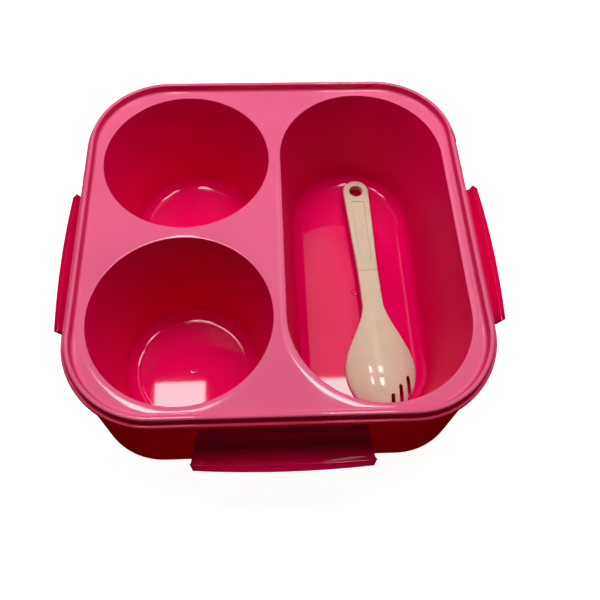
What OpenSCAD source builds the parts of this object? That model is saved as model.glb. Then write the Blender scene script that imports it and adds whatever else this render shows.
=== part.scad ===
// Square lunch box: an outer box with a removable three-well tray, four swing latches
// and a two-piece spork lying in the long well.
// Frame: origin at the middle of the underside, +Z up, +Y to the rear, +X to the long well.

/* [Box] */
// Width and depth of the box across its rim
box_w = 198.6; // [180:0.2:240]
// Corner radius of the rim, seen from above
rim_corner_r = 43; // [41:0.5:60]
// Corner radius of the box wall, seen from above
wall_corner_r = 37; // [30:0.5:40]
// Thickness of the box wall
box_wall = 2; // [1.4:0.1:2.6]
// Thickness of the box floor
box_floor = 2; // [1.4:0.1:4]
// How far each wall leans in on its way down to the floor
wall_lean = 0.8; // [0:0.1:2]
// Radius where the wall turns into the floor
base_fillet = 5; // [3:0.5:8]
// Width of the flat ring that the box stands on
foot_ring = 8; // [4:0.5:20]
// Depth of the panel inside that ring
foot_recess = 0.8; // [0.4:0.1:1.2]

/* [Rim] */
// How far the rim stands out beyond the wall
rim_overhang = 3.1; // [2.6:0.1:6]
// Height of the rim's outer band
rim_h = 4.6; // [4:0.1:8]
// Radius of the band's lower edge
rim_nose_r = 1.4; // [0.6:0.1:2]
// Width of the upstand round the tray
rim_bead = 1.5; // [1:0.1:2]
// Height of the upstand above the tray's plate
rim_rise = 0.5; // [0:0.1:1.5]
// Gap between that upstand and the tray
tray_gap = 0.5; // [0.3:0.1:1]

/* [Tray] */
// Thickness of the tray's plate and wells
tray_wall = 1.8; // [1.2:0.1:2.4]
// Height of the raised lip above the plate
lip_h = 4.3; // [2:0.1:8]
// Thickness of the lip at its top
lip_t = 2.3; // [1.6:0.1:3]
// Radius of the lip's upper edges
lip_edge_r = 1; // [0.4:0.1:1.2]
// How much the lip's inside leans out on its way up
lip_draft = 0.35; // [0:0.05:0.8]
// Depth of every well below the plate
well_depth = 66; // [40:0.5:90]
// Plate left between two neighbouring wells
web = 6.2; // [5:0.1:10]
// Plate left between the cups and the lip
cup_margin = 5.2; // [4.2:0.1:12]
// Plate left between the ends of the long well and the lip
trough_margin = 4.5; // [4:0.1:20]
// How far a well's wall leans in on its way down
well_lean = 8; // [4:0.5:10]
// Radius between a well's wall and its floor
well_fillet = 7; // [4:0.5:12]
// Width of the soft edge at a well's mouth
mouth_w = 2.7; // [1:0.1:3]
// Height of that soft edge
mouth_h = 1.6; // [0.8:0.1:2]
// Height of the skirt that centres the tray in the box
skirt_h = 4; // [2:0.5:10]
// Thickness of that skirt
skirt_t = 1.5; // [1:0.1:2]
// Gap between that skirt and the box wall
skirt_gap = 0.4; // [0.2:0.1:1]
// Gap between the wells and the box floor
floor_gap = 0.4; // [0.3:0.1:4]
// Diameter of the moulding mark on each well's floor
gate_d = 4.4; // [2:0.2:8]
// Height of that mark
gate_h = 0.3; // [0.1:0.1:0.5]

/* [Latches] */
// Width of a latch at its grip
latch_w = 82.6; // [50:0.2:100]
// Width of a latch between its lugs
latch_neck_w = 74.2; // [40:0.2:90]
// Radius of the two corners of the grip
latch_corner_r = 3; // [1:0.5:6]
// Thickness of a latch's leaf
latch_t = 1.8; // [1.4:0.1:2.4]
// Radius of the leaf's curve, along its middle
latch_curve_r = 14.5; // [13:0.5:16]
// Angle through which the leaf curves
latch_curve = 79; // [70:1:84]
// How far the curve's centre lies below the hinge
latch_drop = 6.6; // [6:0.1:8]
// Gap between the wall and the heel of an open latch
heel_gap = 0.3; // [0.2:0.1:0.6]
// Rise of the hook above the leaf
hook_h = 5; // [3:0.5:6]
// Width of the hook with its grip
hook_w = 4.6; // [3.5:0.1:7]
// How far the hook's tip leans out
hook_lean = 2.8; // [1.6:0.1:3]
// Radius of the hinge barrel
barrel_r = 1.6; // [1.4:0.1:1.8]
// Radius of the hinge pins
pin_r = 1.1; // [0.8:0.05:1.2]
// Radial play of a pin in its lug
pin_play = 0.08; // [0.05:0.01:0.1]
// Thickness of a hinge lug
lug_t = 4; // [3:0.5:8]
// Wall of a lug round its pin
lug_wall = 1.2; // [0.8:0.1:1.4]
// Play between a latch and each lug
lug_gap = 0.4; // [0.3:0.1:1]
// Gap between the hinge barrel and the box wall
barrel_gap = 0.4; // [0.3:0.1:1]
// Gap between the hinge barrel and the rim above it
hinge_drop = 1.2; // [1:0.1:3]
// Angle by which the right-hand latch stands above the others
right_latch_lift = 9; // [0:1:40]

/* [Spork] */
// Gap between each end of the spork and the end of the well's floor
spork_end_gap = 1; // [0.6:0.1:6]
// Length of its handle, up to the seam
handle_l = 65; // [50:0.5:70]
// Width of the handle at its round end
handle_w = 15.8; // [14:0.2:20]
// Width of the handle at the seam
seam_w = 11.8; // [10:0.2:14]
// Thickness of the handle
handle_t = 4; // [3.6:0.1:5]
// Height of the handle above the bowl's rim
handle_rise = 4.2; // [3:0.1:6]
// Diameter of the hole for hanging it up
hang_hole_d = 8; // [5:0.5:9]
// Depth of the long recess in the handle
recess_depth = 0.6; // [0.3:0.1:0.8]
// Width of that recess at the hole end
recess_start_w = 7.8; // [6:0.2:9]
// Width of that recess at the seam end
recess_w = 6; // [3:0.5:7]
// Distance from that recess to the seam
recess_stop = 4.5; // [3:0.5:10]
// Length of the tongue that plugs the head into the handle
tongue_l = 12; // [6:0.5:18]
// Width of that tongue
tongue_w = 6.6; // [4:0.2:8]
// Thickness of that tongue
tongue_t = 1.6; // [1.2:0.1:1.8]
// Play of the tongue in its socket
tongue_gap = 0.1; // [0.05:0.05:0.3]
// Radius of the spork's upper edges
edge_r = 0.9; // [0.3:0.1:1]
// Radius of its lower edges
under_r = 0.3; // [0.1:0.1:0.4]
// Width of the bowl
bowl_w = 38.6; // [30:0.2:40]
// Length over which the neck widens into the bowl and closes again
bowl_l = 63; // [50:1:66]
// Distance from the bowl's widest place to its tip
bowl_tip_l = 24.7; // [20:0.1:30]
// Height of the bowl's back above its rim
bowl_h = 8; // [5:0.5:10]
// Thickness of the bowl
bowl_t = 1.6; // [1.4:0.1:2.4]
// Width of a slot between two tines
slot_w = 2.3; // [1.5:0.1:3]
// Width of a tine
tine_w = 2.6; // [2:0.1:3]
// Number of slots
slots = 3; // [2:1:3]
// Distance of the outermost slot from the middle of the bowl
slot_side = 13.5; // [12.5:0.1:14]
// Distance of that slot's root from the tip
slot_l = 18.5; // [14:0.5:22]
// How much shorter each next slot is
slot_step = 5; // [0:0.5:6]
// Angle of the spork to the long well
spork_turn = 2; // [0:0.5:3]
// How far the handle's end lies to the right of the well's middle
spork_shift = 5; // [0:0.5:6]
// Height of the lowest edge above the well's floor
spork_rest = 0.3; // [0.3:0.1:2]

/* [Hidden] */

berry = "#db2260";
deep_berry = "#a8103c";
wheat = "#d6bda6";
smooth = 72;               // segments of a full circle
arc_steps = 6;             // segments of a fillet in a profile
eps = 0.01;                // overlap that joins two solids
over = 1;                  // how far a cutting shape runs past what it cuts

// Heights, from the table up
plate_z = box_floor + floor_gap + tray_wall + well_depth;
ledge_z = plate_z - tray_wall;
rim_top = plate_z + rim_rise;
rim_bottom = rim_top - rim_h;
well_floor_z = plate_z - well_depth;

// Half-widths, from the middle out
rim_half = box_w / 2;
lip_out = rim_half - rim_bead - tray_gap;
lip_in = lip_out - lip_t;
wall_out = rim_half - rim_overhang;
wall_in = wall_out - box_wall;
rim_centre = rim_half - rim_corner_r;
wall_centre = wall_out - wall_corner_r;
skirt_out = wall_in - skirt_gap;
skirt_corner_r = wall_corner_r - box_wall - skirt_gap;

// Wells: two round cups on the left, one long trough on the right
cup_r = (lip_in - cup_margin - web / 2) / 2;
cup_at = web / 2 + cup_r;
trough_run = lip_in - trough_margin - cup_r;    // half the straight part of the trough
floor_r = cup_r - well_lean - well_fillet;      // flat part of a well's floor
spork_l = 2 * (trough_run + floor_r - spork_end_gap);

// A well's wall runs straight between its floor fillet and its mouth, tangent to both
tangent_x = well_lean + well_fillet + mouth_h;
tangent_z = well_depth - well_fillet - mouth_h;
well_draft = acos((well_fillet + mouth_h) / norm([tangent_x, tangent_z])) - atan2(tangent_z, tangent_x);

// Latch hinge
hinge_out = wall_out + barrel_gap + barrel_r;
hinge_z = rim_bottom - hinge_drop - barrel_r;
lug_in = latch_neck_w / 2 + lug_gap;
lug_r = pin_r + pin_play + lug_wall;
pin_short = 0.4;                                // how far a pin stops inside its lug's outer face

// ---------- shared shapes ----------

// Points of an arc about [x, y] from angle a0 to a1
function arc(x, y, r, a0, a1, n = arc_steps) =
    [for (i = [0 : n]) let (a = a0 + (a1 - a0) * i / n) [x + r * cos(a), y + r * sin(a)]];

// Square of a half-width with round corners
module round_square(half, r) {
    square([2 * half, 2 * (half - r)], center = true);
    square([2 * (half - r), 2 * half], center = true);
    for (x = [-1, 1], y = [-1, 1])
        translate([x * (half - r), y * (half - r)]) circle(r = r, $fn = smooth);
}

module round_slab(half, r, z0, z1) {
    translate([0, 0, z0]) linear_extrude(z1 - z0) round_square(half, r);
}

// Runs a profile round a square with round corners; its x starts at the corners' centres
module square_sweep(centre) {
    for (turn = [0 : 90 : 270])
        rotate(turn) translate([centre, centre, 0]) {
            rotate_extrude(angle = 90, $fn = smooth) children();
            rotate([90, 0, 0]) linear_extrude(2 * centre) children();
        }
}

// Revolves a profile into a cup, or stretches it into a trough with round ends
module well_sweep(run) {
    if (run == 0)
        rotate_extrude($fn = smooth) children();
    else
        for (end = [0, 180])
            rotate(end) translate([0, run, 0]) {
                rotate_extrude(angle = 180, $fn = smooth) children();
                rotate([90, 0, 0]) linear_extrude(2 * run) children();
            }
}

// ---------- outer box ----------

// Half section of the box wall, its outside or its inside, from the corner's centre
module wall_section(inset, fillet, bottom, top) {
    r = wall_corner_r - inset;
    foot = r - wall_lean;
    polygon(concat([[0, bottom]],
                   arc(foot - fillet, bottom + fillet, fillet, -90, 0),
                   [[r, top], [0, top]]));
}

// Solid block with the outline of the wall
module wall_block(inset, fillet, bottom, top) {
    square_sweep(wall_centre) wall_section(inset, fillet, bottom, top);
    translate([-wall_centre, -wall_centre, bottom])
        cube([2 * wall_centre, 2 * wall_centre, top - bottom]);
}

// Outer band of the rim, with a round lower edge and a round top
module rim_section() {
    r = rim_corner_r;
    inside = r - rim_overhang - box_wall / 2;
    bead_r = rim_bead / 2;
    polygon(concat([[inside, rim_bottom]],
                   arc(r - rim_nose_r, rim_bottom + rim_nose_r, rim_nose_r, -90, 0),
                   arc(r - bead_r, rim_top - bead_r, bead_r, 0, 180),
                   [[r - rim_bead, ledge_z], [inside, ledge_z]]));
}

module rim() {
    inset = rim_bead + eps;
    square_sweep(rim_centre) rim_section();
    difference() {
        round_slab(rim_half - inset, rim_corner_r - inset, rim_bottom, ledge_z);
        round_slab(wall_in, wall_corner_r - box_wall, rim_bottom - over, ledge_z + over);
    }
}

// Ear that holds one hinge pin, joined to the wall and to the rim above it
module lug(side) {
    top = rim_bottom + eps;
    translate([side * (lug_in + lug_t / 2), 0, 0])
        rotate([90, 0, 90]) linear_extrude(lug_t, center = true)
            difference() {
                union() {
                    translate([-hinge_out, hinge_z]) circle(r = lug_r, $fn = smooth);
                    translate([-hinge_out - lug_r, hinge_z]) square([lug_r * 2, top - hinge_z]);
                    translate([-hinge_out, hinge_z - lug_r])
                        square([hinge_out - wall_out + box_wall / 2, top - hinge_z + lug_r]);
                }
                translate([-hinge_out, hinge_z]) circle(r = pin_r + pin_play, $fn = smooth);
            }
}

module outer_box() {
    foot_half = wall_out - wall_lean - base_fillet - foot_ring;
    color(deep_berry) {
        difference() {
            union() {
                wall_block(0, base_fillet, 0, rim_bottom + eps);
                round_slab(wall_out, wall_corner_r, rim_bottom, ledge_z - eps);
            }
            wall_block(box_wall, base_fillet - box_wall, box_floor, ledge_z + over);
            round_slab(foot_half, wall_corner_r - base_fillet - foot_ring, -over, foot_recess);
        }
        rim();
        for (turn = [0 : 90 : 270])
            rotate(turn) for (side = [-1, 1]) lug(side);
    }
}

// ---------- inner tray ----------

// Half section of the air inside a well; its mouth is a quarter of an oval, tangent to the wall
module well_hollow() {
    last = atan2(mouth_w, mouth_h * tan(well_draft));
    foot_x = floor_r + well_fillet * cos(well_draft);
    foot_z = well_floor_z + well_fillet * (1 - sin(well_draft));
    end_z = plate_z - mouth_h * (1 - cos(last));
    mouth_x = foot_x + (end_z - foot_z) * tan(well_draft) + mouth_w * sin(last);
    mouth = [for (i = [0 : arc_steps]) let (a = last * (1 - i / arc_steps))
             [mouth_x - mouth_w * sin(a), plate_z - mouth_h * (1 - cos(a))]];
    polygon(concat([[0, well_floor_z]],
                   arc(floor_r, well_floor_z + well_fillet, well_fillet, -90, -well_draft),
                   mouth,
                   [[mouth_x, plate_z + over], [0, plate_z + over]]));
}

// Half section of a well's outside, one wall thickness from its inside
module well_body() {
    fillet = well_fillet + tray_wall;
    top = plate_z - tray_wall / 2;
    centre_z = well_floor_z + well_fillet;
    rise = top - centre_z + fillet * sin(well_draft);
    top_x = floor_r + fillet * cos(well_draft) + rise * tan(well_draft);
    polygon(concat([[0, centre_z - fillet]],
                   arc(floor_r, centre_z, fillet, -90, -well_draft),
                   [[top_x, top], [0, top]]));
}

module at_wells() {
    for (y = [-1, 1]) translate([-cup_at, y * cup_at, 0]) well_sweep(0) children();
    translate([cup_at, 0, 0]) well_sweep(trough_run) children();
}

// Lip round the plate, with a soft top and a slightly leaning inside
module lip_section() {
    r = lip_out - rim_centre;
    soft = min(lip_edge_r, lip_t / 2);
    top = plate_z + lip_h;
    foot = r - lip_t - lip_draft;
    polygon(concat([[r, ledge_z]],
                   arc(r - soft, top - soft, soft, 0, 90),
                   arc(r - lip_t + soft, top - soft, soft, 90, 180),
                   [[foot, plate_z - eps], [foot, ledge_z]]));
}

// Band under the plate that centres the tray in the box
module skirt() {
    difference() {
        round_slab(skirt_out, skirt_corner_r, ledge_z - skirt_h, ledge_z + eps);
        round_slab(skirt_out - skirt_t, skirt_corner_r - skirt_t, ledge_z - skirt_h - over, ledge_z + over);
    }
}

module gate_mark() {
    translate([0, 0, well_floor_z - eps]) cylinder(d = gate_d, h = gate_h + eps, $fn = 32);
}

module inner_tray() {
    color(berry) {
        difference() {
            union() {
                round_slab(lip_in, lip_in - rim_centre, ledge_z, plate_z);
                at_wells() well_body();
            }
            at_wells() well_hollow();
        }
        square_sweep(rim_centre) lip_section();
        skirt();
        for (y = [-cup_at, cup_at]) translate([-cup_at, y, 0]) gate_mark();
        translate([cup_at, 0, 0]) gate_mark();
    }
}

// ---------- latches ----------

// Section of a latch about its hinge, hanging open: x runs outward, y up
module latch_section() {
    half = latch_t / 2;
    inner = latch_curve_r - half;
    outer = latch_curve_r + half;
    mid = [outer + heel_gap - barrel_gap - barrel_r, -latch_drop];
    first = 171;
    last = first + latch_curve;
    leaf_steps = 14;
    tip = mid + inner * [cos(last), sin(last)];
    tip_r = 0.7;
    grip_r = 1.2;
    circle(r = barrel_r, $fn = smooth);
    polygon(concat(
        [[half, 0]],
        arc(mid[0], mid[1], inner, first, last, leaf_steps),
        arc(tip[0] + hook_lean, tip[1] + hook_h - tip_r, tip_r, 150, 20),
        arc(tip[0] + hook_w, tip[1] + grip_r, grip_r, 30, -70),
        arc(mid[0], mid[1], outer, last + 4, first, leaf_steps),
        [[-half, 0]]));
}

// Outline of a latch from above: narrow between the lugs, wide and slightly bowed at the grip
module latch_outline() {
    bow_r = 520;
    bow_y = latch_curve_r + hook_w - bow_r;
    neck = latch_neck_w / 2;
    wide = latch_w / 2;
    flare_from = barrel_r + lug_gap;
    corner_x = wide - latch_corner_r;
    corner_y = bow_y + sqrt(pow(bow_r - latch_corner_r, 2) - pow(corner_x, 2));
    reach = latch_curve_r + hook_w + over;
    intersection() {
        union() {
            polygon([[-neck, -2 * barrel_r], [-neck, flare_from], [-wide, latch_curve_r - 1],
                     [-wide, corner_y], [-corner_x, corner_y], [-corner_x, reach],
                     [corner_x, reach], [corner_x, corner_y], [wide, corner_y],
                     [wide, latch_curve_r - 1], [neck, flare_from], [neck, -2 * barrel_r]]);
            for (side = [-1, 1])
                translate([side * corner_x, corner_y]) circle(r = latch_corner_r, $fn = smooth);
        }
        translate([0, bow_y]) circle(r = bow_r, $fn = 720);
    }
}

module latch(lift = 0) {
    tall = 4 * latch_curve_r;
    color(berry)
        translate([0, -hinge_out, hinge_z]) rotate([-lift, 0, 0]) {
            intersection() {
                rotate([90, 0, -90]) linear_extrude(latch_w, center = true) latch_section();
                linear_extrude(tall, center = true) mirror([0, 1]) latch_outline();
            }
            for (side = [-1, 1])
                translate([side * (latch_neck_w / 2 - over), 0, 0]) rotate([0, side * 90, 0])
                    cylinder(r = pin_r, h = over + lug_gap + lug_t - pin_short, $fn = smooth);
        }
}

module latch_front() { latch(); }
module latch_right() { rotate(90) latch(right_latch_lift); }
module latch_rear() { rotate(180) latch(); }
module latch_left() { rotate(270) latch(); }

// ---------- spork ----------

// Puts a piece drawn along +X, from the handle's end to the tip, into the long well
module in_trough() {
    translate([cup_at + spork_shift, spork_l / 2, well_floor_z + spork_rest])
        rotate([0, 0, -90 + spork_turn]) children();
}

// Half section of the handle, from its middle to its edge
module handle_section(r) {
    polygon(concat([[0, 0]],
                   arc(r - under_r, under_r, under_r, -90, 0),
                   arc(r - edge_r, handle_t - edge_r, edge_r, 0, 90),
                   [[0, handle_t]]));
}

// Round end and two straight sides that close in on the seam
module handle_blank() {
    end_r = handle_w / 2;
    run = handle_l - end_r;
    taper = asin(end_r / norm([run, seam_w / 2])) - atan2(seam_w / 2, run);
    intersection() {
        translate([end_r, 0, 0]) {
            rotate(90 - taper) rotate_extrude(angle = 180 + 2 * taper, $fn = smooth) handle_section(end_r);
            for (side = [0, 1])
                mirror([0, side, 0]) rotate(90 - taper)
                    rotate([90, 0, 0]) linear_extrude(handle_l) handle_section(end_r);
        }
        translate([-over, -handle_w, -over]) cube([handle_l + over, 2 * handle_w, handle_t + 2 * over]);
    }
}

module recess_plan() {
    end_x = handle_l - recess_stop - recess_w / 2;
    translate([end_x, 0]) circle(d = recess_w, $fn = 32);
    polygon([[handle_w, -recess_start_w / 2], [end_x, -recess_w / 2],
             [end_x, recess_w / 2], [handle_w, recess_start_w / 2]]);
}

// Tongue of the head, or with play its socket in the handle, centred in the thickness
module tongue(play) {
    low = (handle_t - recess_depth - tongue_t) / 2;
    translate([handle_l - tongue_l - play, -tongue_w / 2 - play, low - play])
        cube([tongue_l + play + over, tongue_w + 2 * play, tongue_t + 2 * play]);
}

module spork_handle() {
    color(wheat) in_trough() translate([0, 0, handle_rise])
        difference() {
            handle_blank();
            translate([handle_w / 2, 0, -over])
                cylinder(d = hang_hole_d, h = handle_t + 2 * over, $fn = smooth);
            translate([0, 0, handle_t - recess_depth]) linear_extrude(recess_depth + over) recess_plan();
            tongue(tongue_gap);
        }
}

// Smooth step from 0 to 1
function ease(t) = let (u = max(0, min(1, t))) u * u * (3 - 2 * u);

// Half the head's width at a distance from the handle's end
bowl_from = spork_l - bowl_l;
bowl_widest = spork_l - bowl_tip_l;
function past_widest(s) = max(0, s - bowl_widest) / bowl_tip_l;
function head_half(s) = s < bowl_widest
    ? seam_w / 2 + (bowl_w - seam_w) / 2 * ease((s - bowl_from) / (bowl_widest - bowl_from))
    : bowl_w / 2 * sqrt(max(0, 1 - pow(past_widest(s), 2)));

// Height of the underside: the edge, and the crown that rises between the edges
bowl_lag = 4;              // the back starts to rise this far after the neck starts to widen
crown_power = 2.2;         // how squarely the back rises from its edges
function in_bowl(s) = ease((s - bowl_from - bowl_lag) / (bowl_widest - bowl_from));
function head_t(s) = handle_t + (bowl_t - handle_t) * in_bowl(s);
function crown(s) = bowl_h * in_bowl(s) * sqrt(1 - pow(past_widest(s) * 0.96, 2));
function head_z(s, u) =
    handle_rise * (1 - in_bowl(s)) + crown(s) * (1 - pow(abs(u), crown_power));

// Distance from the outline, and how far an edge radius pulls the surface back there
function from_edge(s, y) = s < bowl_widest
    ? head_half(s) - abs(y)
    : bowl_w / 2 * (1 - norm([2 * y / bowl_w, past_widest(s)]));
function pulled(d, r) = d >= r ? 0 : r - sqrt(max(0, r * r - pow(r - d, 2)));

head_rows = 44;
head_cols = 20;
tip_flat = 0.1;            // length left off at the very tip, where the outline is square to it
module head_shell() {
    // rows crowd together at the tip and columns at the edges, where the surface turns fastest
    rows = [for (i = [0 : head_rows]) let (t = i / head_rows)
            handle_l + (spork_l - tip_flat - handle_l) * (1 - pow(1 - t, 1.5))];
    across = [for (j = [0 : head_cols]) sin(90 * (2 * j / head_cols - 1))];
    soft = min(edge_r, bowl_t - under_r - 0.2);
    n = head_cols + 1;
    top = [for (s = rows) for (u = across) let (y = u * head_half(s))
           [s, y, head_z(s, u) + head_t(s) - pulled(from_edge(s, y), soft)]];
    under = [for (s = rows) for (u = across) let (y = u * head_half(s))
             [s, y, head_z(s, u) + pulled(from_edge(s, y), under_r)]];
    base = len(top);
    quads = [for (i = [0 : head_rows - 1], j = [0 : head_cols - 1]) let (a = i * n + j)
             [a, a + 1, a + n + 1, a + n]];
    lower = [for (q = quads) [base + q[3], base + q[2], base + q[1], base + q[0]]];
    sides = [for (i = [0 : head_rows - 1]) for (j = [0, head_cols]) let (a = i * n + j, b = a + n)
             j == 0 ? [a, b, base + b, base + a] : [b, a, base + a, base + b]];
    ends = [for (i = [0, head_rows]) for (j = [0 : head_cols - 1]) let (a = i * n + j, b = a + 1)
            i == 0 ? [b, a, base + a, base + b] : [a, b, base + b, base + a]];
    polyhedron(concat(top, under), concat(quads, lower, sides, ends), convexity = 6);
}

// Air of a slot, with a round root
module slot(i) {
    r = slot_w / 2;
    translate([spork_l - slot_l + i * slot_step, slot_side - i * (slot_w + tine_w), -over])
        linear_extrude(bowl_h + bowl_t + 2 * over) {
            translate([r, 0]) circle(r = r, $fn = 32);
            translate([r, -r]) square([slot_l + over, slot_w]);
        }
}

module spork_head() {
    color(wheat) in_trough() {
        translate([0, 0, handle_rise]) tongue(0);
        difference() {
            head_shell();
            for (i = [0 : slots - 1]) slot(i);
        }
    }
}

// ---------- nodes ----------

outer_box();
inner_tray();
latch_front();
latch_right();
latch_rear();
latch_left();
spork_handle();
spork_head();
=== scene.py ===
"""Dresses a square lunch box: the box, its lift-out tray, four swing latches and a two-piece spork.

Every piece is lofted ring by ring in edit mode, from outlines and half sections whose sizes are in
millimetres, and rides on the construction body that it stands for.
"""

import logging
import math
from dataclasses import dataclass, field
from enum import Enum
from typing import Iterable, Sequence

import bmesh
import bpy
from mathutils import Matrix, Vector


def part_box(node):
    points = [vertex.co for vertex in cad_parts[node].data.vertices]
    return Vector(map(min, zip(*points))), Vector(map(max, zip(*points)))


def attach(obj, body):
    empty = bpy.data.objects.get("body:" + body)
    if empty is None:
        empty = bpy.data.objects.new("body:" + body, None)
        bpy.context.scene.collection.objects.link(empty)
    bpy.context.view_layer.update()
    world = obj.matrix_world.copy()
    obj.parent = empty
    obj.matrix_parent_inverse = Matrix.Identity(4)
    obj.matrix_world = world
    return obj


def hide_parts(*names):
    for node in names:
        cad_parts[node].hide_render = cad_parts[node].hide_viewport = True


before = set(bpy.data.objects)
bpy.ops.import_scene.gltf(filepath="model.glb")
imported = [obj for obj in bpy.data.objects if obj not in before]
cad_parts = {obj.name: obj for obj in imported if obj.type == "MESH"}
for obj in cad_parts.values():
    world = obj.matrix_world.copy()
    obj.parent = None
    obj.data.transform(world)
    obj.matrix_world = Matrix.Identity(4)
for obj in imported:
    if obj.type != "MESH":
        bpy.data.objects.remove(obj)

Point2 = tuple[float, float]
Point3 = tuple[float, float, float]
Ring = list[Point3]
Colour = tuple[float, float, float, float]
Stop = tuple[float, Colour]
Socket = bpy.types.NodeSocket

MM = 0.001
SMOOTH_ANGLE = 34.0
log = logging.getLogger("lunch_box")


# ---------------------------------------------------------------- sections and outlines


def arc(x: float, y: float, r: float, start: float, end: float, steps: int = 6) -> list[Point2]:
    """Draws an arc as points.

    Args:
        x: Centre, first coordinate.
        y: Centre, second coordinate.
        r: Radius.
        start: First angle in degrees.
        end: Last angle in degrees.
        steps: Number of equal steps.

    Returns:
        steps + 1 points.
    """
    turn = [math.radians(start + (end - start) * i / steps) for i in range(steps + 1)]
    return [(x + r * math.cos(a), y + r * math.sin(a)) for a in turn]


def rounded_square(half: float, corner: float, z: float, steps: int = 24) -> Ring:
    """Outlines a square with round corners.

    Args:
        half: Half its width.
        corner: Radius of its corners.
        z: Height.
        steps: Steps in each corner.

    Returns:
        The ring, counter-clockwise from the right-hand rear corner.
    """
    centre = half - corner
    ring: Ring = []
    for quarter, (sx, sy) in enumerate(((1, 1), (-1, 1), (-1, -1), (1, -1))):
        points = arc(sx * centre, sy * centre, corner, 90 * quarter, 90 * quarter + 90, steps)
        ring += [(x, y, z) for x, y in points]
    return ring


def stadium(x: float, y: float, r: float, run: float, z: float, steps: int = 48) -> Ring:
    """Outlines a circle, or a slot with round ends along Y.

    Args:
        x: Middle, across.
        y: Middle, along.
        r: Radius of the circle or of the ends.
        run: Half the length of the straight sides; 0 gives a circle.
        z: Height.
        steps: Steps in each half turn.

    Returns:
        The ring, counter-clockwise.
    """
    rear = arc(x, y + run, r, 0, 180, steps)
    front = arc(x, y - run, r, 180, 360, steps)
    if run == 0:
        rear, front = rear[:-1], front[:-1]
    return [(px, py, z) for px, py in rear + front]


def reach_in_box(x: float, y: float, toward: Point2, low: Point2, high: Point2) -> float:
    """Distance from a point to the sides of a box round it.

    Args:
        x: Place of the point, across.
        y: Place of the point, along.
        toward: Unit direction to look in.
        low: Lowest corner of the box.
        high: Highest corner of the box.

    Returns:
        The distance.
    """
    reach = math.inf
    for start, step, lowest, highest in zip((x, y), toward, low, high):
        if abs(step) > 1e-9:
            reach = min(reach, ((highest if step > 0 else lowest) - start) / step)
    return reach


def pull_in(section: Sequence[Point2], inset: float) -> list[Point2]:
    """Moves a closed section inward along its normals.

    Args:
        section: Counter-clockwise points.
        inset: Distance.

    Returns:
        As many points.
    """
    moved = []
    count = len(section)
    for i, (x, y) in enumerate(section):
        bx, by = section[i - 1]
        ax, ay = section[(i + 1) % count]
        dx, dy = ax - bx, ay - by
        size = math.hypot(dx, dy) or 1.0
        moved.append((x - inset * dy / size, y + inset * dx / size))
    return moved


# ---------------------------------------------------------------- work in edit mode


def clear_selection() -> None:
    """Leaves edit mode and deselects every object."""
    if bpy.context.object and bpy.context.object.mode != "OBJECT":
        bpy.ops.object.mode_set(mode="OBJECT")
    bpy.ops.object.select_all(action="DESELECT")


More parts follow.
